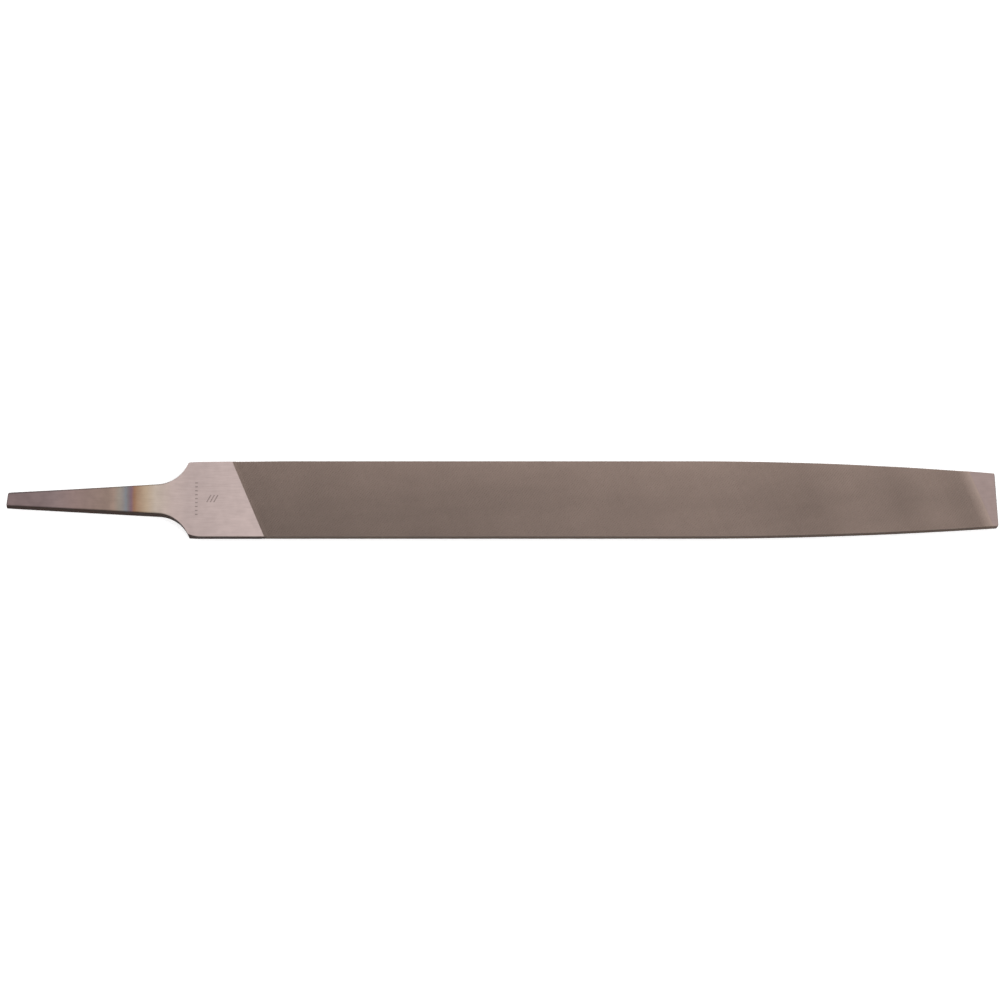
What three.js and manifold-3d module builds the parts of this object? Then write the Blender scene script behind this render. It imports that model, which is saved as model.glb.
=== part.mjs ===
// Flat file for metalwork, nominal length 10 inches, without a handle.
//
// The whole tool is one piece of high-carbon steel: a tang for a handle, two curved
// shoulders, a smooth heel, and a long flat body whose edges curve in towards its point.
// X runs along the file with the point at +X, Z is up, and the origin is the bottom centre
// of the file's box. Units are millimetres and degrees.
//
// The blank is where four solids meet: the side profile, the plan of the body, the plan of
// the tang and shoulders, whose sides lean, and the slanted cuts at the two ends. The rows
// of teeth are far finer than this model, which keeps the faces that they are cut into.
import * as THREE from 'three';
import { mergeVertices } from 'three/addons/utils/BufferGeometryUtils.js';
import Module from 'manifold-3d';

const wasm = await Module();
wasm.setup();

// Body: everything between the shoulders and the point.
const BODY_LENGTH = 254;
const BODY_WIDTH = 24;
const BODY_THICKNESS = 5.6;
const TAPER_LENGTH = 96;
const LEFT_LOSS = 4;
const RIGHT_LOSS = 3.3;
const POINT_SLANT = 3.5;

// Heel: the left edge, +Y, comes in a little towards the shoulder, and each edge is eased
// over a short length where it meets the shoulder's arc. The corner eases are those of the
// upper face, and they grow with height by CORNER_FLARE of that for each millimetre.
const HEEL_EASE = 0.32;
const HEEL_EASE_LENGTH = 30;
const LEFT_CORNER_EASE = 0.15;
const RIGHT_CORNER_EASE = 0.85;
const CORNER_EASE_LENGTH = 4;
const CORNER_OVERLAP = 0.8;
const CORNER_FLARE = 0.15;

// Tang: straight taper in width and in thickness. The widths are those of its plan at the
// height of the body's upper face. Its sides lean out downwards by so much for each
// millimetre of height, which grows towards its end and fades out along the shoulders.
const TANG_LENGTH = 57;
const TANG_END_WIDTH = 3.5;
const TANG_BASE_WIDTH = 9.25;
const TANG_END_THICKNESS = 3.2;
const TANG_END_SLANT = 7.5;
const TANG_END_LEAN = 0.195;
const TANG_BASE_LEAN = 0.085;

// Shoulders: an arc on each side that leaves the tang's edge and meets the body's edge.
const SHOULDER_LENGTH = 9.5;
const SHOULDER_RADIUS = 11;
const SHOULDER_SWEEP = 80;

// The thickness starts to fall in this stretch, which straddles the middle of the shoulders.
const THICKNESS_BLEND_START = 2;
const THICKNESS_BLEND_END = 10;

// Extra length or height by which one solid overshoots the others that cut it, and how close
// two vertices lie when they are one.
const OVERSHOOT = 8;
const LEAN_OVERSHOOT = 1;
const SAME_VERTEX = 1e-4;

// Straight steps along each curved stretch.
const TAPER_STEPS = 13;
const CORNER_STEPS = 6;
const BLEND_STEPS = 3;
const SHOULDER_STEPS = 16;

const STEEL_COLOUR = 0x8d7f79;
const STEEL_ROUGHNESS = 0.42;
const STEEL_METALNESS = 0.9;

const radians = THREE.MathUtils.degToRad;

// Numbers from 0 to 1 in equal steps.
function inSteps(steps) {
  return Array.from({ length: steps + 1 }, (_, i) => i / steps);
}

function extrude(shape, options) {
  return new THREE.ExtrudeGeometry(shape, { steps: 1, bevelEnabled: false, ...options });
}

// A closed three.js geometry as a manifold solid.
function toSolid(geometry) {
  const bare = geometry.clone();
  bare.deleteAttribute('normal');
  bare.deleteAttribute('uv');
  const merged = mergeVertices(bare, SAME_VERTEX);
  return new wasm.Manifold(new wasm.Mesh({
    numProp: 3,
    vertProperties: new Float32Array(merged.attributes.position.array),
    triVerts: new Uint32Array(merged.index.array),
  }));
}

function toGeometry(solid) {
  const mesh = solid.getMesh();
  const geometry = new THREE.BufferGeometry();
  geometry.setAttribute('position', new THREE.BufferAttribute(mesh.vertProperties, 3));
  geometry.setIndex(new THREE.BufferAttribute(mesh.triVerts, 1));
  return geometry;
}

// Thickness seen from the side, extruded across the width. The body is parallel, and the
// tang gets thinner towards its end by the same amount on both faces.
function sideProfile() {
  const middle = BODY_THICKNESS / 2;
  const kneeX = -(THICKNESS_BLEND_START + THICKNESS_BLEND_END) / 2;
  const blend = THICKNESS_BLEND_END - THICKNESS_BLEND_START;
  const slope = (middle - TANG_END_THICKNESS / 2) / (TANG_LENGTH + kneeX);
  const farX = -TANG_LENGTH - OVERSHOOT;
  const farDrop = slope * (kneeX - farX);
  const endX = BODY_LENGTH + OVERSHOOT;
  const arc = inSteps(BLEND_STEPS)
    .map((t) => [-THICKNESS_BLEND_START - t * blend, (slope * blend * t * t) / 2]);

  const shape = new THREE.Shape();
  shape.moveTo(farX, BODY_THICKNESS - farDrop);
  shape.lineTo(farX, farDrop);
  [...arc].reverse().forEach(([x, drop]) => shape.lineTo(x, drop));
  shape.lineTo(endX, 0);
  shape.lineTo(endX, BODY_THICKNESS);
  arc.forEach(([x, drop]) => shape.lineTo(x, BODY_THICKNESS - drop));
  shape.closePath();

  const depth = BODY_WIDTH + 2 * OVERSHOOT;
  const geometry = extrude(shape, { depth });
  geometry.rotateX(Math.PI / 2);
  geometry.translate(0, depth / 2, 0);
  return toSolid(geometry);
}

// How far one edge has come in at a place on its way to the point, on an arc that leaves the
// parallel stretch and has dropped by `loss` at the point.
function taperDrop(x, loss) {
  const radius = (TAPER_LENGTH * TAPER_LENGTH + loss * loss) / (2 * loss);
  const run = Math.max(0, x - BODY_LENGTH + TAPER_LENGTH);
  return radius - Math.sqrt(radius * radius - run * run);
}

// How far one edge comes in at a place on the heel.
function heelDrop(x, heelEase, cornerEase) {
  const heel = heelEase * Math.max(0, 1 - x / HEEL_EASE_LENGTH);
  return heel + cornerEase * Math.max(0, 1 - x / CORNER_EASE_LENGTH) ** 2;
}

// One edge of the body from its heel to past its point, as [place along, distance across].
function bodyEdge(loss, heelEase, cornerEase) {
  const half = BODY_WIDTH / 2;
  const cornerX = (t) => t * (CORNER_EASE_LENGTH + CORNER_OVERLAP) - CORNER_OVERLAP;
  const taperX = (t) => BODY_LENGTH - TAPER_LENGTH + t * (TAPER_LENGTH + OVERSHOOT);
  const places = [
    ...inSteps(CORNER_STEPS).map(cornerX),
    HEEL_EASE_LENGTH,
    ...inSteps(TAPER_STEPS).map(taperX),
  ];
  return places.map((x) => [x, half - heelDrop(x, heelEase, cornerEase) - taperDrop(x, loss)]);
}

// Plan of the body at a height above its upper face. It is carried straight back past the
// tang, so that only the body's own edges count.
function bodyPlan(height) {
  const share = 1 + CORNER_FLARE * height;
  const right = bodyEdge(RIGHT_LOSS, 0, RIGHT_CORNER_EASE * share);
  const left = bodyEdge(LEFT_LOSS, HEEL_EASE, LEFT_CORNER_EASE * share);
  const farX = -TANG_LENGTH - OVERSHOOT;
  return outline([[farX, right[0][1]], ...right], [[farX, left[0][1]], ...left]);
}

// An anticlockwise outline from its right and left sides, both listed towards the point as
// [place along, distance across].
function outline(right, left) {
  return [...right.map(([x, y]) => [x, -y]), ...left.reverse()]
    .map(([x, y]) => new THREE.Vector2(x, y));
}

// How far the tang's side or the shoulder leans out for each millimetre downwards.
function sideLean(x) {
  const growth = (TANG_END_LEAN - TANG_BASE_LEAN) / (TANG_LENGTH - SHOULDER_LENGTH);
  const onShoulder = TANG_BASE_LEAN * Math.min(1, Math.max(0, -x / SHOULDER_LENGTH));
  return onShoulder + growth * Math.max(0, -x - SHOULDER_LENGTH);
}

// One side of the tang and its shoulder in plan, at a height above the body's upper face.
// Past the shoulder it opens wider than the body, whose own edge takes over there.
function tangSide(height) {
  const tilt = Math.atan2(
    TANG_BASE_WIDTH - TANG_END_WIDTH,
    2 * (TANG_LENGTH - SHOULDER_LENGTH),
  );
  const sweep = radians(SHOULDER_SWEEP);
  const centreX = -SHOULDER_LENGTH - SHOULDER_RADIUS * Math.sin(tilt);
  const centreY = TANG_BASE_WIDTH / 2 + SHOULDER_RADIUS * Math.cos(tilt);
  const shoulder = inSteps(SHOULDER_STEPS).map((t) => [
    centreX + SHOULDER_RADIUS * Math.sin(tilt + t * sweep),
    centreY - SHOULDER_RADIUS * Math.cos(tilt + t * sweep),
  ]);
  const farHalf = BODY_WIDTH / 2 + OVERSHOOT;
  const plan = [
    [-TANG_LENGTH - OVERSHOOT, TANG_END_WIDTH / 2 - OVERSHOOT * Math.tan(tilt)],
    ...shoulder,
    [BODY_LENGTH + OVERSHOOT, farHalf],
  ];
  return plan.map(([x, y]) => [x, y - sideLean(x) * height]);
}

function tangPlan(height) {
  return outline(tangSide(height), tangSide(height));
}

// A solid whose plan changes evenly from below the body's lower face to above its upper one.
// planAt gives the outline at a height above the upper face, always with as many points.
function leaningSolid(planAt) {
  const heights = [-BODY_THICKNESS - LEAN_OVERSHOOT, LEAN_OVERSHOOT];
  const [lower, upper] = heights.map(planAt);
  const [lowZ, highZ] = heights.map((height) => BODY_THICKNESS + height);
  const count = lower.length;
  const points = [...lower.map((p) => [p.x, p.y, lowZ]), ...upper.map((p) => [p.x, p.y, highZ])];
  const index = [];
  THREE.ShapeUtils.triangulateShape(lower, []).forEach(([a, b, c]) => {
    index.push(c, b, a, a + count, b + count, c + count);
  });
  lower.forEach((_, a) => {
    const b = (a + 1) % count;
    index.push(a, b, b + count, a, b + count, a + count);
  });
  const geometry = new THREE.BufferGeometry();
  geometry.setAttribute('position', new THREE.Float32BufferAttribute(points.flat(), 3));
  geometry.setIndex(index);
  return toSolid(geometry);
}

// The slanted cuts that end the tang and the point. On both, the -Y corner stands further out.
function endCuts() {
  const reach = BODY_WIDTH / 2 + OVERSHOOT;
  const tangShift = reach * Math.tan(radians(TANG_END_SLANT));
  const pointShift = reach * Math.tan(radians(POINT_SLANT));
  const shape = new THREE.Shape();
  shape.moveTo(-TANG_LENGTH - tangShift, -reach);
  shape.lineTo(BODY_LENGTH + pointShift, -reach);
  shape.lineTo(BODY_LENGTH - pointShift, reach);
  shape.lineTo(-TANG_LENGTH + tangShift, reach);
  shape.closePath();

  const geometry = extrude(shape, { depth: BODY_THICKNESS + 2 * OVERSHOOT });
  geometry.translate(0, 0, -OVERSHOOT);
  return toSolid(geometry);
}

function flatFile() {
  const solid = sideProfile()
    .intersect(leaningSolid(bodyPlan))
    .intersect(leaningSolid(tangPlan))
    .intersect(endCuts());
  const geometry = toGeometry(solid);
  geometry.computeVertexNormals();
  geometry.computeBoundingBox();

  const material = new THREE.MeshStandardMaterial({
    color: STEEL_COLOUR,
    roughness: STEEL_ROUGHNESS,
    metalness: STEEL_METALNESS,
  });
  const mesh = new THREE.Mesh(geometry, material);
  mesh.name = 'flat_file';
  mesh.position.x = -(geometry.boundingBox.min.x + geometry.boundingBox.max.x) / 2;
  return mesh;
}

const file = new THREE.Group();
file.add(flatFile());

export default file;
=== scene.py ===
"""Looks of the flat file: its toothed steel, its heat-tinted tang and a plain studio.

Lengths are in metres. X runs along the file towards its point, Y across it and Z up.
Functions that take `along` count it from the shoulders, where the tang meets the body.
"""
import math
import random

import bmesh
import bpy
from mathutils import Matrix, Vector


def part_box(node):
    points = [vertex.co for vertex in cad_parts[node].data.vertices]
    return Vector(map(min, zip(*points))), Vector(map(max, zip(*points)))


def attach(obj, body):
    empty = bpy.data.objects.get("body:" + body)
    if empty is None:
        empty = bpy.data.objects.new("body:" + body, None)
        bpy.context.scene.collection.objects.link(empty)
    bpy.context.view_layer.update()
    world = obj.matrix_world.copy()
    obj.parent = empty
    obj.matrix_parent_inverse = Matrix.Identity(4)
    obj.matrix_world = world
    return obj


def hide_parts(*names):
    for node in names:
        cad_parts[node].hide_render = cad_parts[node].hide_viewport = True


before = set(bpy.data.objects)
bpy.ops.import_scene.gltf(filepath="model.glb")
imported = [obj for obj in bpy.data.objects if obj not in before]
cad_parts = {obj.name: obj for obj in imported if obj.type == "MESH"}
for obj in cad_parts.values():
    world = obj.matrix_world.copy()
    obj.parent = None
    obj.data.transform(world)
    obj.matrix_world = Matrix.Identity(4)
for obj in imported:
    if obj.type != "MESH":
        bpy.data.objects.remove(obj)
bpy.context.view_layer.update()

LOW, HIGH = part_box("flat_file")

MM = 0.001

# The blank, as the CAD model has it.
THICKNESS = HIGH.z - LOW.z
HALF_WIDTH = HIGH.y
BODY_LENGTH = 254 * MM
TAPER_LENGTH = 96 * MM
LEFT_LOSS = 4 * MM
RIGHT_LOSS = 3.3 * MM
POINT_SLANT = math.radians(3.5)
HEEL_EASE = 0.32 * MM
HEEL_EASE_LENGTH = 30 * MM
LEFT_CORNER_EASE = 0.15 * MM
RIGHT_CORNER_EASE = 0.85 * MM
CORNER_EASE_LENGTH = 4 * MM
CORNER_OVERLAP = 0.8 * MM
CORNER_FLARE = 0.15 / MM
TANG_LENGTH = 57 * MM
TANG_END_WIDTH = 3.5 * MM
TANG_BASE_WIDTH = 9.25 * MM
TANG_END_THICKNESS = 3.2 * MM
TANG_END_SLANT = math.radians(7.5)
TANG_END_LEAN = 0.195
TANG_BASE_LEAN = 0.085
SHOULDER_LENGTH = 9.5 * MM
SHOULDER_RADIUS = 11 * MM
BLEND_START = -10 * MM
BLEND_END = -2 * MM

# How far the slant of each end reaches along the file, how its rim is rounded, and how often
# a place that depends on itself is worked out again until it settles.
SLANT_REACH = 12 * MM
END_ROUND = 0.25 * MM
CORNER_STEPS = 3
SETTLE_ROUNDS = 4

# Radius of the long corners: soft on the forged tang, crisp on the ground body.
TANG_ROUND = 0.45 * MM
HEEL_ROUND = 0.16 * MM
BODY_ROUND = 0.06 * MM

# Teeth: single rows on both faces and both edges, at an angle to the file's length. Each row
# is a little shallower than the full depth, by chance, and the last ones fade out.
ROW_ANGLE = math.radians(66.9)
ROW_PITCH = 0.5 * MM
ROW_LAND = 0.012 * MM
DEPTH_SPREAD = 0.06
TOOTH_DEPTH = 0.16 * MM
EDGE_DEPTH_SHARE = 0.8
TEETH_START = 18.8 * MM
TEETH_END = 249.3 * MM
FADE_ROWS = 8
FADED_DEPTH = 0.2
EDGE_ROW_SHIFT = 0.25 * ROW_PITCH
FACE_SEED = 3
EDGE_SEED = 7

# How far the cutters stand out above the surface and past its sides, and how close together
# two vertices of the cut mesh are when they are joined.
COMB_MARGIN = 0.3 * MM
COMB_REACH = 1.2 * MM
WELD_DISTANCE = 0.001 * MM

# One gap between two teeth, across the row: steep front of one tooth, rounded gullet, and
# the hollow back of the next. Shares of the gap's width and of the tooth's depth.
GAP_PROFILE = ((0, 0), (0.21, 0.87), (0.31, 1), (0.48, 0.86), (0.72, 0.53), (0.9, 0.21), (1, 0))

# A plain stamp on the heel: a column of ticks and three slanted strokes.
STAMP_DEPTH = 0.07 * MM
STAMP_LINE = 0.34 * MM
STAMP_CENTRE = 7.6 * MM
STROKE_LENGTH = 2.6 * MM
STROKE_GAP = 1.1 * MM
STROKE_TURN = math.radians(30)
TICK_PLACE = 2.6 * MM
TICK_LENGTH = 0.8 * MM
TICK_GAP = 1.25 * MM
TICKS = 9

# The surface height that paint() stores on the stamp's floor, and how dark the steel is painted
# there, as painted shade in the stamp's recess.
STAMP_HEIGHT = 1 - STAMP_DEPTH / TOOTH_DEPTH
STAMP_SHADE_TONE = 0.6

# Tones of the face teeth: painted shade, darker towards the heel, painted light, paler along the
# left edge, and darker along the right edge at the heel but not at the point.
HEEL_SHADE_TONE = 0.82
HEEL_SHADE_END = 150 * MM
LIT_LEFT_TONE = 1.18
RIGHT_TONE_HEEL = 0.87
RIGHT_TONE_POINT = 1.06

# A facet whose normal rises less than this belongs to an edge, a side or an end, and one
# whose normal points along the file by more than this belongs to an end.
SIDEWAYS = 0.42
ENDWAYS = 0.9

# Colours of the tang's faces, by the place in millimetres from the shoulders: dull oxide,
# then the tints that the heat of softening left, from blue through purple to straw. Their
# borders waver by TINT_WOBBLE.
TINT_WOBBLE = 0.3 * MM
HEAT_TINTS = (
    (-57.0, (0.191, 0.138, 0.136)),
    (-44.0, (0.196, 0.145, 0.143)),
    (-42.0, (0.231, 0.172, 0.168)),
    (-36.0, (0.241, 0.171, 0.158)),
    (-25.0, (0.242, 0.174, 0.144)),
    (-23.4, (0.295, 0.213, 0.174)),
    (-21.7, (0.268, 0.231, 0.196)),
    (-20.6, (0.242, 0.213, 0.200)),
    (-19.6, (0.193, 0.200, 0.216)),
    (-18.8, (0.187, 0.154, 0.158)),
    (-17.9, (0.192, 0.119, 0.146)),
    (-17.0, (0.263, 0.141, 0.089)),
    (-16.0, (0.301, 0.192, 0.128)),
    (-13.2, (0.414, 0.314, 0.227)),
    (-10.4, (0.443, 0.367, 0.309)),
    (-5.0, (0.449, 0.358, 0.333)),
)
HEEL_COLOUR = (0.409, 0.327, 0.311)
POINT_COLOUR = (0.223, 0.170, 0.159)

# The heel's tone, which rises from the shoulders to the teeth, and how much the smooth
# steel's tone is mottled at the tang's end and on the heel.
HEEL_TONE_LOW = 0.915
HEEL_TONE_HIGH = 1.04
TANG_MOTTLE = 0.1
HEEL_MOTTLE = 0.05

# Noise values in this range are spread over the whole of a tone or a roughness.
NOISE_LOW = 0.3
NOISE_HIGH = 0.7

# How strongly the dark sides reflect, where they are smooth and over the edge teeth. Their dark
# is partly painted shade.
SCALE_GLOSS = 0.05
EDGE_GLOSS = 0.15

# Light: the sky's strength, one softbox, and a floor that glows a little.
SKY_AT_HORIZON = 0.6
SKY_OVERHEAD = 1.3
KEY_PLACE = (0.8, 0.35, 1.1)
KEY_SIZE = 0.9
KEY_POWER = 4
FLOOR_SIZE = 4.0
FLOOR_COLOUR = (0.9, 0.9, 0.9, 1)
FLOOR_ROUGHNESS = 0.9
FLOOR_GLOW = 0.42

# Camera.
CAMERA_ELEVATION = math.radians(81.3)
CAMERA_DISTANCE = 1.6
CAMERA_AIM_X = -0.6 * MM
LENS = 183
SENSOR_WIDTH = 36
CLIP_END = 20

# Colours of the teeth, in the gullets and along the tips, and of the sides. The gullets are
# painted darker than the tips as painted shade. The edge teeth and the sides are painted far
# darker than the face teeth and the ground steel, as painted shade of the sideways faces over
# their scale.
FACE_SHADED_GULLET = (0.175, 0.132, 0.112)
FACE_TIP = (0.262, 0.2, 0.172)
EDGE_SHADED_GULLET = (0.020, 0.010, 0.006)
EDGE_SHADED_TIP = (0.066, 0.036, 0.021)
SHADED_SCALE_DARK = (0.013, 0.005, 0.003)
SHADED_SCALE_PALE = (0.032, 0.015, 0.009)


def point_corner():
    """How far the point's right corner stands out from the middle of the slanted end."""
    reach = 0.0
    for _ in range(SETTLE_ROUNDS):
        half_width_there = body_half_width(BODY_LENGTH + reach, THICKNESS, -1)
        reach = half_width_there * math.tan(POINT_SLANT)
    return reach


def taper_drop(along, loss):
    """How far one edge of the body has come in, on its arc towards the point."""
    run = max(0.0, along - BODY_LENGTH + TAPER_LENGTH)
    radius = (TAPER_LENGTH * TAPER_LENGTH + loss * loss) / (2 * loss)
    return radius - math.sqrt(radius * radius - run * run)


def heel_drop(along, heel_ease, corner_ease):
    """How far one edge of the body has come in towards the shoulder."""
    place = max(along, -CORNER_OVERLAP)
    heel = heel_ease * max(0.0, 1 - place / HEEL_EASE_LENGTH)
    return heel + corner_ease * max(0.0, 1 - place / CORNER_EASE_LENGTH) ** 2


def body_half_width(along, height, side):
    """Distance of the body's edge from the middle, on side +1 (left) or -1 (right)."""
    share = 1 + CORNER_FLARE * (height - THICKNESS)
    if side > 0:
        drop = taper_drop(along, LEFT_LOSS)
        return HALF_WIDTH - drop - heel_drop(along, HEEL_EASE, LEFT_CORNER_EASE * share)
    drop = taper_drop(along, RIGHT_LOSS)
    return HALF_WIDTH - drop - heel_drop(along, 0, RIGHT_CORNER_EASE * share)


def side_lean(along):
    """How far the tang's side or the shoulder leans out for each metre downwards."""
    growth = (TANG_END_LEAN - TANG_BASE_LEAN) / (TANG_LENGTH - SHOULDER_LENGTH)
    on_shoulder = TANG_BASE_LEAN * min(1.0, max(0.0, -along / SHOULDER_LENGTH))
    return on_shoulder + growth * max(0.0, -along - SHOULDER_LENGTH)


def tang_half_width(along, height):
    """Distance of the tang's or shoulder's side from the middle. It is more lower down."""
    tilt = math.atan2(TANG_BASE_WIDTH - TANG_END_WIDTH, 2 * (TANG_LENGTH - SHOULDER_LENGTH))
    lean = side_lean(along) * (THICKNESS - height)
    if along < -SHOULDER_LENGTH:
        return TANG_BASE_WIDTH / 2 + (along + SHOULDER_LENGTH) * math.tan(tilt) + lean
    centre_x = -SHOULDER_LENGTH - SHOULDER_RADIUS * math.sin(tilt)
    centre_y = TANG_BASE_WIDTH / 2 + SHOULDER_RADIUS * math.cos(tilt)
    across = along - centre_x
    if across >= SHOULDER_RADIUS:
        return math.inf
    return centre_y - math.sqrt(SHOULDER_RADIUS * SHOULDER_RADIUS - across * across) + lean


def half_width(along, height, side):
    """Distance from the middle to the body's edge or the tang's side, the nearer of the two."""
    return min(body_half_width(along, height, side), tang_half_width(along, height))


def half_thickness(along):
    """Half the thickness: parallel in the body, less towards the tang's end."""
    middle = THICKNESS / 2
    knee = (BLEND_START + BLEND_END) / 2
    slope = (middle - TANG_END_THICKNESS / 2) / (TANG_LENGTH + knee)
    if along < BLEND_START:
        return middle + slope * (along - knee)
    if along < BLEND_END:
        share = (BLEND_END - along) / (BLEND_END - BLEND_START)
        return middle - slope * (knee - BLEND_START) * share * share
    return middle


def corner_round(along):
    """Radius of the long corners of a cross-section."""
    if along < -SHOULDER_LENGTH:
        return TANG_ROUND
    if along < 0:
        return HEEL_ROUND + (TANG_ROUND - HEEL_ROUND) * -along / SHOULDER_LENGTH
    return max(BODY_ROUND, HEEL_ROUND - (HEEL_ROUND - BODY_ROUND) * along / HEEL_EASE_LENGTH)


def end_lean(along):
    """How far a section leans: none in the middle, and the full slant at each end."""
    to_point = max(0.0, 1 - (BODY_LENGTH - along) / SLANT_REACH)
    to_tang = max(0.0, 1 - (TANG_LENGTH + along) / SLANT_REACH)
    return math.tan(TANG_END_SLANT) * to_tang - math.tan(POINT_SLANT) * to_point


def section_corner(along, side, up, inset):
    """One corner of a cross-section before rounding, pulled in by `inset`."""
    x = along
    for _ in range(SETTLE_ROUNDS):
        z = THICKNESS / 2 + up * (half_thickness(x) - inset)
        y = side * (half_width(x, z, side) - inset)
        x = along + end_lean(along) * y
    return Vector((x, y, z))


def section_ring(along, inset=0.0):
    """A whole cross-section with its four corners rounded."""
    signs = ((1, 1), (-1, 1), (-1, -1), (1, -1))
    corners = [section_corner(along, side, up, inset) for side, up in signs]
    radius = corner_round(along)
    ring = []
    for i, corner in enumerate(corners):
        before = corner + (corners[i - 1] - corner).normalized() * radius
        after = corner + (corners[(i + 1) % 4] - corner).normalized() * radius
        for step in range(CORNER_STEPS + 1):
            t = step / CORNER_STEPS
            ring.append(before.lerp(corner, t).lerp(corner.lerp(after, t), t))
    return ring


def stations():
    """Where the blank has cross-sections, close together where its outline turns."""
    tang_steps, blend_steps, arc_steps, ease_steps, taper_steps = 5, 6, 34, 10, 22
    crease_steps, crease_from, crease_to = 12, -1.1 * MM, 0.1 * MM
    sweep = math.radians(66)
    centre = -SHOULDER_LENGTH
    spots = [-TANG_LENGTH + END_ROUND, BODY_LENGTH - END_ROUND]
    spots += [-TANG_LENGTH + i / tang_steps * (TANG_LENGTH + BLEND_START)
              for i in range(1, tang_steps)]
    spots += [BLEND_START + i / blend_steps * (BLEND_END - BLEND_START)
              for i in range(blend_steps + 1)]
    spots += [centre + SHOULDER_RADIUS * math.sin(i / arc_steps * sweep)
              for i in range(arc_steps)]
    spots += [crease_from + i / crease_steps * (crease_to - crease_from)
              for i in range(crease_steps + 1)]
    spots += [i / ease_steps * CORNER_EASE_LENGTH for i in range(1, ease_steps + 1)]
    spots += [HEEL_EASE_LENGTH / 2, HEEL_EASE_LENGTH]
    spots += [BODY_LENGTH - TAPER_LENGTH * (1 - i / taper_steps) for i in range(taper_steps)]
    spots.sort()
    closest = 0.06 * MM
    return [s for i, s in enumerate(spots) if i == 0 or s - spots[i - 1] > closest]


def blank_rings():
    """The blank's cross-sections from the tang's end to the point, with rounded rims."""
    halfway_round = math.radians(45)
    sunk = END_ROUND * (1 - math.sin(halfway_round))
    tang_rim = [section_ring(-TANG_LENGTH, END_ROUND), section_ring(-TANG_LENGTH + sunk, sunk)]
    point_rim = [section_ring(BODY_LENGTH - sunk, sunk), section_ring(BODY_LENGTH, END_ROUND)]
    return tang_rim + [section_ring(s) for s in stations()] + point_rim


def in_frame(point):
    """A point measured from the shoulders, in the shared frame."""
    return point + Vector((SHOULDER_X, 0, 0))


def mesh_object(name, points, faces):
    """A new object in the scene, from points measured from the shoulders."""
    mesh = bpy.data.meshes.new(name)
    mesh.from_pydata([in_frame(p) for p in points], [], faces)
    mesh.validate()
    made = bpy.data.objects.new(name, mesh)
    bpy.context.scene.collection.objects.link(made)
    return made


def closed_object(name, points, faces):
    """An object of one or more closed shells, with every facet turned outwards."""
    made = mesh_object(name, points, faces)
    shells = bmesh.new()
    shells.from_mesh(made.data)
    bmesh.ops.recalc_face_normals(shells, faces=shells.faces)
    shells.to_mesh(made.data)
    shells.free()
    return made


def make_blank():
    """The file before its teeth are cut, as one closed mesh."""
    rings = blank_rings()
    count = len(rings[0])
    points = [p for ring in rings for p in ring]
    faces = [tuple(range(count))]
    for i in range(len(rings) - 1):
        for j in range(count):
            near, far = i * count + j, i * count + (j + 1) % count
            faces.append((near, near + count, far + count, far))
    faces.append(tuple(reversed(range(len(points) - count, len(points)))))
    return closed_object("flat_file_steel", points, faces)


def rows(first, last, seed):
    """(place along the file, share of the full depth) of each row of teeth."""
    chance = random.Random(seed)
    count = round((last - first) / ROW_PITCH)
    for i in range(count):
        left = count - i
        share = min(1.0, FADED_DEPTH + (1 - FADED_DEPTH) * left / FADE_ROWS)
        yield first + i * ROW_PITCH, share * (1 - chance.uniform(0, DEPTH_SPREAD))


def gap_outline(share, depth):
    """(across the row, depth) of one gap's section, closed above the surface."""
    width = ROW_PITCH * math.sin(ROW_ANGLE) - ROW_LAND
    outline = [(width * a, -share * depth * d) for a, d in GAP_PROFILE]
    return outline + [(width, COMB_MARGIN), (0, COMB_MARGIN)]


def comb(name, row_list, depth, ends, place):
    """A comb that cuts rows of teeth: one prism per row, from ends[0] to ends[1].

    place(row, end, across, depth) gives the point at one end of a row."""
    points, faces = [], []
    for row, share in row_list:
        outline = gap_outline(share, depth)
        count, first = len(outline), len(points)
        for end in ends:
            points += [place(row, end, across, down) for across, down in outline]
        for j in range(count):
            k = (j + 1) % count
            faces.append((first + j, first + count + j, first + count + k, first + k))
        faces.append(tuple(first + j for j in range(count)))
        faces.append(tuple(first + count + j for j in reversed(range(count))))
    return closed_object(name, points, faces)


def face_comb(up):
    """Cuts the rows of the upper (+1) or lower (-1) face. Both lean alike from outside."""
    def place(row, end, across, down):
        y = end + across * math.cos(ROW_ANGLE)
        x = row - end / math.tan(ROW_ANGLE) + across * math.sin(ROW_ANGLE)
        return Vector((x, up * y, THICKNESS / 2 + up * (half_thickness(x) + down)))

    reach = HALF_WIDTH + COMB_REACH
    row_list = rows(TEETH_START, TEETH_END, seed=FACE_SEED + up)
    return comb(f"face_comb_{up}", row_list, TOOTH_DEPTH, (-reach, reach), place)


def edge_comb(side):
    """Cuts the rows of the left (+1) or right (-1) edge, from just past the face's first row."""
    def place(row, end, across, down):
        z = end - across * math.cos(ROW_ANGLE)
        x = row + end / math.tan(ROW_ANGLE) + across * math.sin(ROW_ANGLE)
        y = side * (body_half_width(x, THICKNESS / 2, side) + down)
        return Vector((x, y, THICKNESS / 2 + z))

    reach = THICKNESS / 2 + COMB_REACH
    shift = side * HALF_WIDTH / math.tan(ROW_ANGLE) - EDGE_ROW_SHIFT
    depth = TOOTH_DEPTH * EDGE_DEPTH_SHARE
    row_list = rows(TEETH_START - shift, TEETH_END - shift, seed=EDGE_SEED + side)
    return comb(f"edge_comb_{side}", row_list, depth, (-reach, reach), place)


def prism(outline, low, high):
    """Corners and faces of an upright prism over an outline that runs anticlockwise."""
    count = len(outline)
    points = [Vector((x, y, z)) for z in (low, high) for x, y in outline]
    faces = [tuple(reversed(range(count))), tuple(range(count, 2 * count))]
    faces += [(j, (j + 1) % count, (j + 1) % count + count, j + count) for j in range(count)]
    return points, faces


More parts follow.
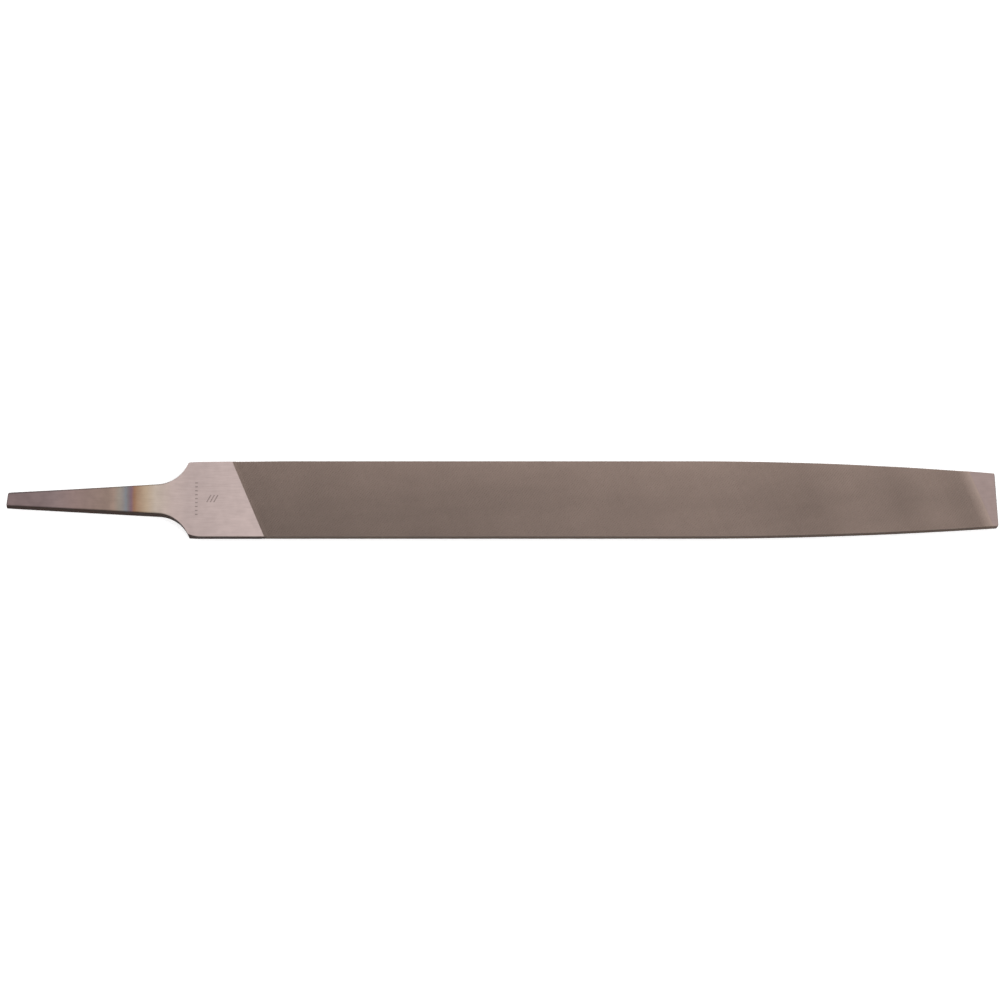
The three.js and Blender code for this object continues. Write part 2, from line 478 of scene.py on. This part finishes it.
def bar(x, y, length, turn):
    """Outline of a straight stroke of the stamp, `turn` from lying across the file."""
    half = Vector((math.sin(turn), math.cos(turn))) * length / 2
    wide = Vector((half.y, -half.x)).normalized() * STAMP_LINE / 2
    middle = Vector((x, y))
    return [middle - half - wide, middle - half + wide, middle + half + wide,
            middle + half - wide]


def make_stamp():
    """The cutter for the stamp: separate prisms that reach a little above the heel's face."""
    outlines = [bar(TICK_PLACE, (i - (TICKS - 1) / 2) * TICK_GAP, TICK_LENGTH, math.pi / 2)
                for i in range(TICKS)]
    outlines += [bar(STAMP_CENTRE + i * STROKE_GAP, 0, STROKE_LENGTH, STROKE_TURN)
                 for i in (-1, 0, 1)]
    points, faces = [], []
    for outline in outlines:
        first = len(points)
        corners, sides = prism(outline, THICKNESS - STAMP_DEPTH, THICKNESS + COMB_MARGIN)
        points += corners
        faces += [tuple(first + i for i in side) for side in sides]
    return closed_object("stamp", points, faces)


def weld(mesh):
    """Splits a mesh into clean triangles, without the slivers that the cuts left in it."""
    shells = bmesh.new()
    shells.from_mesh(mesh)
    bmesh.ops.remove_doubles(shells, verts=shells.verts, dist=WELD_DISTANCE)
    bmesh.ops.triangulate(shells, faces=shells.faces)
    bmesh.ops.dissolve_degenerate(shells, edges=shells.edges, dist=WELD_DISTANCE)
    bmesh.ops.triangulate(shells, faces=shells.faces)
    shells.to_mesh(mesh)
    shells.free()


def cut(piece, combs):
    """Cuts every comb out of the piece and leaves the result as its own mesh."""
    for tool in combs:
        modifier = piece.modifiers.new(tool.name, "BOOLEAN")
        modifier.operation = "DIFFERENCE"
        modifier.solver = "MANIFOLD"
        modifier.object = tool
    bpy.context.view_layer.update()
    shaped = piece.evaluated_get(bpy.context.evaluated_depsgraph_get())
    mesh = bpy.data.meshes.new_from_object(shaped)
    weld(mesh)
    piece.modifiers.clear()
    piece.data = mesh
    for tool in combs:
        bpy.data.objects.remove(tool)


# Where the shoulders are in the shared frame. The point's right corner is the box's end.
SHOULDER_X = HIGH.x - BODY_LENGTH - point_corner()


def make_file():
    """The whole file: the blank, its teeth and its stamp, with its materials."""
    piece = make_blank()
    combs = [face_comb(1), face_comb(-1), edge_comb(1), edge_comb(-1), make_stamp()]
    cut(piece, combs)
    paint(piece)
    return piece


def node(tree, kind, inputs=None, **settings):
    """Adds a node. `inputs` sets or links its sockets by name or number."""
    made = tree.nodes.new(kind)
    for key, value in settings.items():
        setattr(made, key, value)
    for key, value in (inputs or {}).items():
        if isinstance(value, bpy.types.NodeSocket):
            tree.links.new(value, made.inputs[key])
        else:
            made.inputs[key].default_value = value
    return made


def math_node(tree, operation, *values):
    """The result of a Math node."""
    return node(tree, "ShaderNodeMath", dict(enumerate(values)), operation=operation).outputs[0]


def noise(tree, scale, detail=3.0, stretch=(1, 1, 1)):
    """Noise from 0 to 1 in the file's own frame, `scale` cells to a metre."""
    place = node(tree, "ShaderNodeTexCoord").outputs["Object"]
    mapped = node(tree, "ShaderNodeMapping", {"Vector": place, "Scale": stretch})
    settings = {"Vector": mapped.outputs[0], "Scale": scale, "Detail": detail}
    return node(tree, "ShaderNodeTexNoise", settings).outputs[0]


def rescaled(tree, value, low, high, new_low, new_high):
    """A value from one range carried over to another, and held at that one's ends."""
    inputs = {"Value": value, 1: low, 2: high, 3: new_low, 4: new_high}
    return node(tree, "ShaderNodeMapRange", inputs).outputs[0]


def spread(tree, value, low, high):
    """A noise value spread from `low` to `high`."""
    return rescaled(tree, value, NOISE_LOW, NOISE_HIGH, low, high)


def ramp(tree, value, stops):
    """Colour from (position, (red, green, blue)) stops."""
    made = node(tree, "ShaderNodeValToRGB", {0: value})
    elements = made.color_ramp.elements
    while len(elements) < len(stops):
        elements.new(1.0)
    for element, (position, colour) in zip(elements, stops):
        element.position = position
        element.color = (*colour, 1)
    return made.outputs[0]


def times(tree, colour, factor):
    """A colour multiplied by one number."""
    return node(tree, "ShaderNodeVectorMath", {0: colour, "Scale": factor},
                operation="SCALE").outputs[0]


def material(name, metallic):
    """A new material, with its node tree and its main shader."""
    made = bpy.data.materials.new(name)
    made.use_nodes = True
    shader = made.node_tree.nodes["Principled BSDF"]
    shader.inputs["Metallic"].default_value = metallic
    return made, made.node_tree, shader


def link(tree, shader, colour, roughness, height, bump_distance):
    """Joins a material's colour, roughness and bump to its shader."""
    inputs = {"Height": height, "Distance": bump_distance, "Strength": 1.0}
    bump = node(tree, "ShaderNodeBump", inputs)
    tree.links.new(colour, shader.inputs["Base Color"])
    tree.links.new(roughness, shader.inputs["Roughness"])
    tree.links.new(bump.outputs[0], shader.inputs["Normal"])


def along_file(tree):
    """The place along the file, measured from the shoulders."""
    place = node(tree, "ShaderNodeTexCoord").outputs["Object"]
    x = node(tree, "ShaderNodeSeparateXYZ", {0: place}).outputs[0]
    return math_node(tree, "SUBTRACT", x, SHOULDER_X)


def across_file(tree):
    """The place across the file, measured from its middle."""
    place = node(tree, "ShaderNodeTexCoord").outputs["Object"]
    return node(tree, "ShaderNodeSeparateXYZ", {0: place}).outputs[1]


def mixed(tree, share, first, second):
    """A blend of two colours, by a share from 0 to 1."""
    inputs = {"Factor": share, 6: first, 7: second}
    return node(tree, "ShaderNodeMix", inputs, data_type="RGBA").outputs[2]


def tone_of(tree, *parts):
    """The product of several (value, low, high) tones, each spread around 1."""
    tone = 1.0
    for value, low, high in parts:
        tone = math_node(tree, "MULTIPLY", tone, spread(tree, value, low, high))
    return tone


def mottle(tree, along):
    """A tone around 1 in soft patches, which are stronger towards the tang's end."""
    patches = spread(tree, noise(tree, 380, 5), -1, 1)
    strength = rescaled(tree, along, -TANG_LENGTH, 0, TANG_MOTTLE, HEEL_MOTTLE)
    return math_node(tree, "ADD", 1.0, math_node(tree, "MULTIPLY", patches, strength))


def ground_steel():
    """Smooth steel of the heel, the tang and the point, with the tang's heat tints and painted
    shade on the stamp's floor.
    """
    made, tree, shader = material("ground_steel", 0.95)
    wobble = rescaled(tree, noise(tree, 260), 0, 1, -TINT_WOBBLE, TINT_WOBBLE)
    along = math_node(tree, "ADD", along_file(tree), wobble)
    on_tang = rescaled(tree, along, -TANG_LENGTH, 0, 0, 1)
    stops = [((mm * MM + TANG_LENGTH) / TANG_LENGTH, colour) for mm, colour in HEAT_TINTS]
    colour = ramp(tree, on_tang, stops + [(1.0, HEEL_COLOUR)])
    to_point = rescaled(tree, along, TEETH_START, TEETH_END, 0, 1)
    colour = mixed(tree, to_point, colour, (*POINT_COLOUR, 1))

    streaks = noise(tree, 1100, 4, (0.04, 1, 1))
    scratches = noise(tree, 7000, 2, (0.03, 1, 1))
    tone = tone_of(tree, (streaks, 0.98, 1.02), (scratches, 0.93, 1.07))
    tone = math_node(tree, "MULTIPLY", tone, mottle(tree, along))
    by_length = rescaled(tree, along, 0, TEETH_START, HEEL_TONE_LOW, HEEL_TONE_HIGH)
    tone = math_node(tree, "MULTIPLY", tone, by_length)
    # Painted shade on the stamp's sunken floor.
    sunk = rescaled(tree, surface_height(tree), STAMP_HEIGHT, 1, STAMP_SHADE_TONE, 1)
    tone = math_node(tree, "MULTIPLY", tone, sunk)
    roughness = spread(tree, scratches, 0.33, 0.43)
    link(tree, shader, times(tree, colour, tone), roughness, scratches, 0.004 * MM)
    return made


def surface_height(tree):
    """The height that paint() stores: 1 at the blank's surface, 0 at the deepest gullet. The
    materials paint shade into the gullets and onto the stamp's floor by it.
    """
    return node(tree, "ShaderNodeAttribute", attribute_name="surface_height").outputs["Fac"]


def shaded_forged_side():
    """The sides of the tang and the heel, painted near black: painted shade of the sideways
    faces, over the scale left by forging and hardening.
    """
    made, tree, shader = material("shaded_forged_side", 0.1)
    shader.inputs["Specular IOR Level"].default_value = SCALE_GLOSS
    patches = noise(tree, 700, 6, (0.4, 1, 1))
    # Painted shade of the sideways faces, in patches.
    colour = ramp(tree, patches, ((NOISE_LOW, SHADED_SCALE_DARK), (NOISE_HIGH, SHADED_SCALE_PALE)))
    roughness = spread(tree, patches, 0.6, 0.75)
    link(tree, shader, colour, roughness, noise(tree, 2600, 5), 0.03 * MM)
    return made


def cut_face():
    """Face teeth: painted shade in the gullets and towards the heel, painted light along the
    left edge, and tones that change over the face.
    """
    made, tree, shader = material("cut_face", 0.9)
    height = surface_height(tree)
    # Painted shade: the gullets darker than the tips.
    colour = ramp(tree, height, ((0.0, FACE_SHADED_GULLET), (0.9, FACE_TIP)))
    clouds = noise(tree, 55, 4)
    runs = noise(tree, 240, 3, (0.3, 1, 1))
    tone = tone_of(tree, (clouds, 0.96, 1.04), (runs, 0.97, 1.03))
    along = along_file(tree)
    # Painted shade, darker towards the heel, and painted light, paler along the left edge.
    by_length = rescaled(tree, along, TEETH_START, HEEL_SHADE_END, HEEL_SHADE_TONE, 1)
    painted_light_left = rescaled(tree, across_file(tree), 0, HALF_WIDTH, 1, LIT_LEFT_TONE)
    right_tone = rescaled(tree, along, TEETH_START, TEETH_END, RIGHT_TONE_HEEL, RIGHT_TONE_POINT)
    to_right = rescaled(tree, across_file(tree), -HALF_WIDTH, 0, right_tone, 1)
    for share in (by_length, painted_light_left, to_right):
        tone = math_node(tree, "MULTIPLY", tone, share)
    grain = noise(tree, 5000, 4)
    roughness = spread(tree, grain, 0.4, 0.5)
    link(tree, shader, times(tree, colour, tone), roughness, grain, 0.003 * MM)
    return made


def shaded_cut_edge():
    """Edge teeth, the same cut steel as the faces but painted far darker: painted shade of the
    sideways faces, over the scale of the hardening.
    """
    made, tree, shader = material("shaded_cut_edge", 0.35)
    shader.inputs["Specular IOR Level"].default_value = EDGE_GLOSS
    # Painted shade: the gullets darker than the tips, and the whole edge far darker than the
    # face teeth.
    colour = ramp(tree, surface_height(tree), ((0.2, EDGE_SHADED_GULLET), (1.0, EDGE_SHADED_TIP)))
    tone = tone_of(tree, (noise(tree, 120, 4), 0.9, 1.1))
    grain = noise(tree, 5000, 4)
    roughness = spread(tree, grain, 0.52, 0.64)
    link(tree, shader, times(tree, colour, tone), roughness, grain, 0.003 * MM)
    return made


def row_shift(spot, on_edge):
    """How far the row through a point lies along the file from where it crosses the middle."""
    up = math.copysign(1.0, spot.z - THICKNESS / 2)
    side = math.copysign(1.0, spot.y)
    if on_edge:
        across = side * HALF_WIDTH - spot.z + THICKNESS / 2
        return EDGE_ROW_SHIFT - across / math.tan(ROW_ANGLE)
    return -up * spot.y / math.tan(ROW_ANGLE)


def facet_material(centre, normal):
    """Index of a facet's material in the order in which paint() adds them."""
    # The forged material is the sides', painted dark as the shade of the sideways faces over
    # their scale.
    ground, forged, face_teeth, edge_teeth = range(4)
    on_edge = abs(normal.z) < SIDEWAYS
    along = centre.x - SHOULDER_X - row_shift(centre, on_edge)
    if TEETH_START < along < TEETH_END and abs(normal.x) < ENDWAYS:
        return edge_teeth if on_edge else face_teeth
    return forged if on_edge else ground


def depth_below(spot):
    """How deep a point of the finished mesh lies under the blank's surface."""
    along = spot.x - SHOULDER_X
    below_face = half_thickness(along) - abs(spot.z - THICKNESS / 2)
    edge = body_half_width(along, spot.z, math.copysign(1.0, spot.y))
    return max(0.0, min(below_face, edge - abs(spot.y)))


def paint(piece):
    """Gives each facet its material by its place, and each corner its surface height."""
    mesh = piece.data
    mesh.materials.clear()
    for made in (ground_steel(), shaded_forged_side(), cut_face(), shaded_cut_edge()):
        mesh.materials.append(made)
    for facet in mesh.polygons:
        facet.material_index = facet_material(facet.center, facet.normal)
    height = mesh.attributes.new("surface_height", "FLOAT", "POINT")
    for i, vertex in enumerate(mesh.vertices):
        height.data[i].value = 1 - min(1.0, depth_below(vertex.co) / TOOTH_DEPTH)


def make_camera():
    """Almost straight down on the file, leaning a little towards its right edge."""
    aim = Vector((CAMERA_AIM_X, 0, THICKNESS / 2))
    direction = Vector((0, -math.cos(CAMERA_ELEVATION), math.sin(CAMERA_ELEVATION)))
    camera = bpy.data.objects.new("camera", bpy.data.cameras.new("camera"))
    camera.data.lens = LENS
    camera.data.sensor_width = SENSOR_WIDTH
    camera.data.clip_end = CLIP_END
    camera.location = aim + CAMERA_DISTANCE * direction
    camera.rotation_euler = (math.pi / 2 - CAMERA_ELEVATION, 0, 0)
    bpy.context.scene.collection.objects.link(camera)
    bpy.context.scene.camera = camera


def make_floor():
    """A plain pale floor under the file."""
    corners = [Vector((x * FLOOR_SIZE - SHOULDER_X, y * FLOOR_SIZE, 0))
               for x, y in ((-1, -1), (1, -1), (1, 1), (-1, 1))]
    floor = mesh_object("floor", corners, [(0, 1, 2, 3)])
    made, _, shader = material("floor", 0)
    shader.inputs["Base Color"].default_value = FLOOR_COLOUR
    shader.inputs["Roughness"].default_value = FLOOR_ROUGHNESS
    shader.inputs["Emission Color"].default_value = (1, 1, 1, 1)
    shader.inputs["Emission Strength"].default_value = FLOOR_GLOW
    floor.data.materials.append(made)


def make_world():
    """Soft light from everywhere, brightest overhead."""
    world = bpy.data.worlds.new("studio")
    world.use_nodes = True
    tree = world.node_tree
    direction = node(tree, "ShaderNodeTexCoord").outputs["Generated"]
    height = node(tree, "ShaderNodeSeparateXYZ", {0: direction}).outputs[2]
    strength = rescaled(tree, height, 0, 1, SKY_AT_HORIZON, SKY_OVERHEAD)
    background = tree.nodes["Background"]
    background.inputs["Color"].default_value = (1, 1, 1, 1)
    tree.links.new(strength, background.inputs["Strength"])
    bpy.context.scene.world = world


def make_light(name, place, size, power):
    """A square softbox that looks at the middle of the file."""
    lamp = bpy.data.lights.new(name, "AREA")
    lamp.shape = "SQUARE"
    lamp.size = size
    lamp.energy = power
    light = bpy.data.objects.new(name, lamp)
    light.location = place
    light.rotation_euler = (-Vector(place)).to_track_quat("-Z", "Y").to_euler()
    bpy.context.scene.collection.objects.link(light)


bpy.context.scene.view_settings.view_transform = "Standard"

file_piece = make_file()
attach(file_piece, "root")
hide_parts("flat_file")

make_camera()
make_floor()
make_world()
make_light("key_light", KEY_PLACE, KEY_SIZE, KEY_POWER)
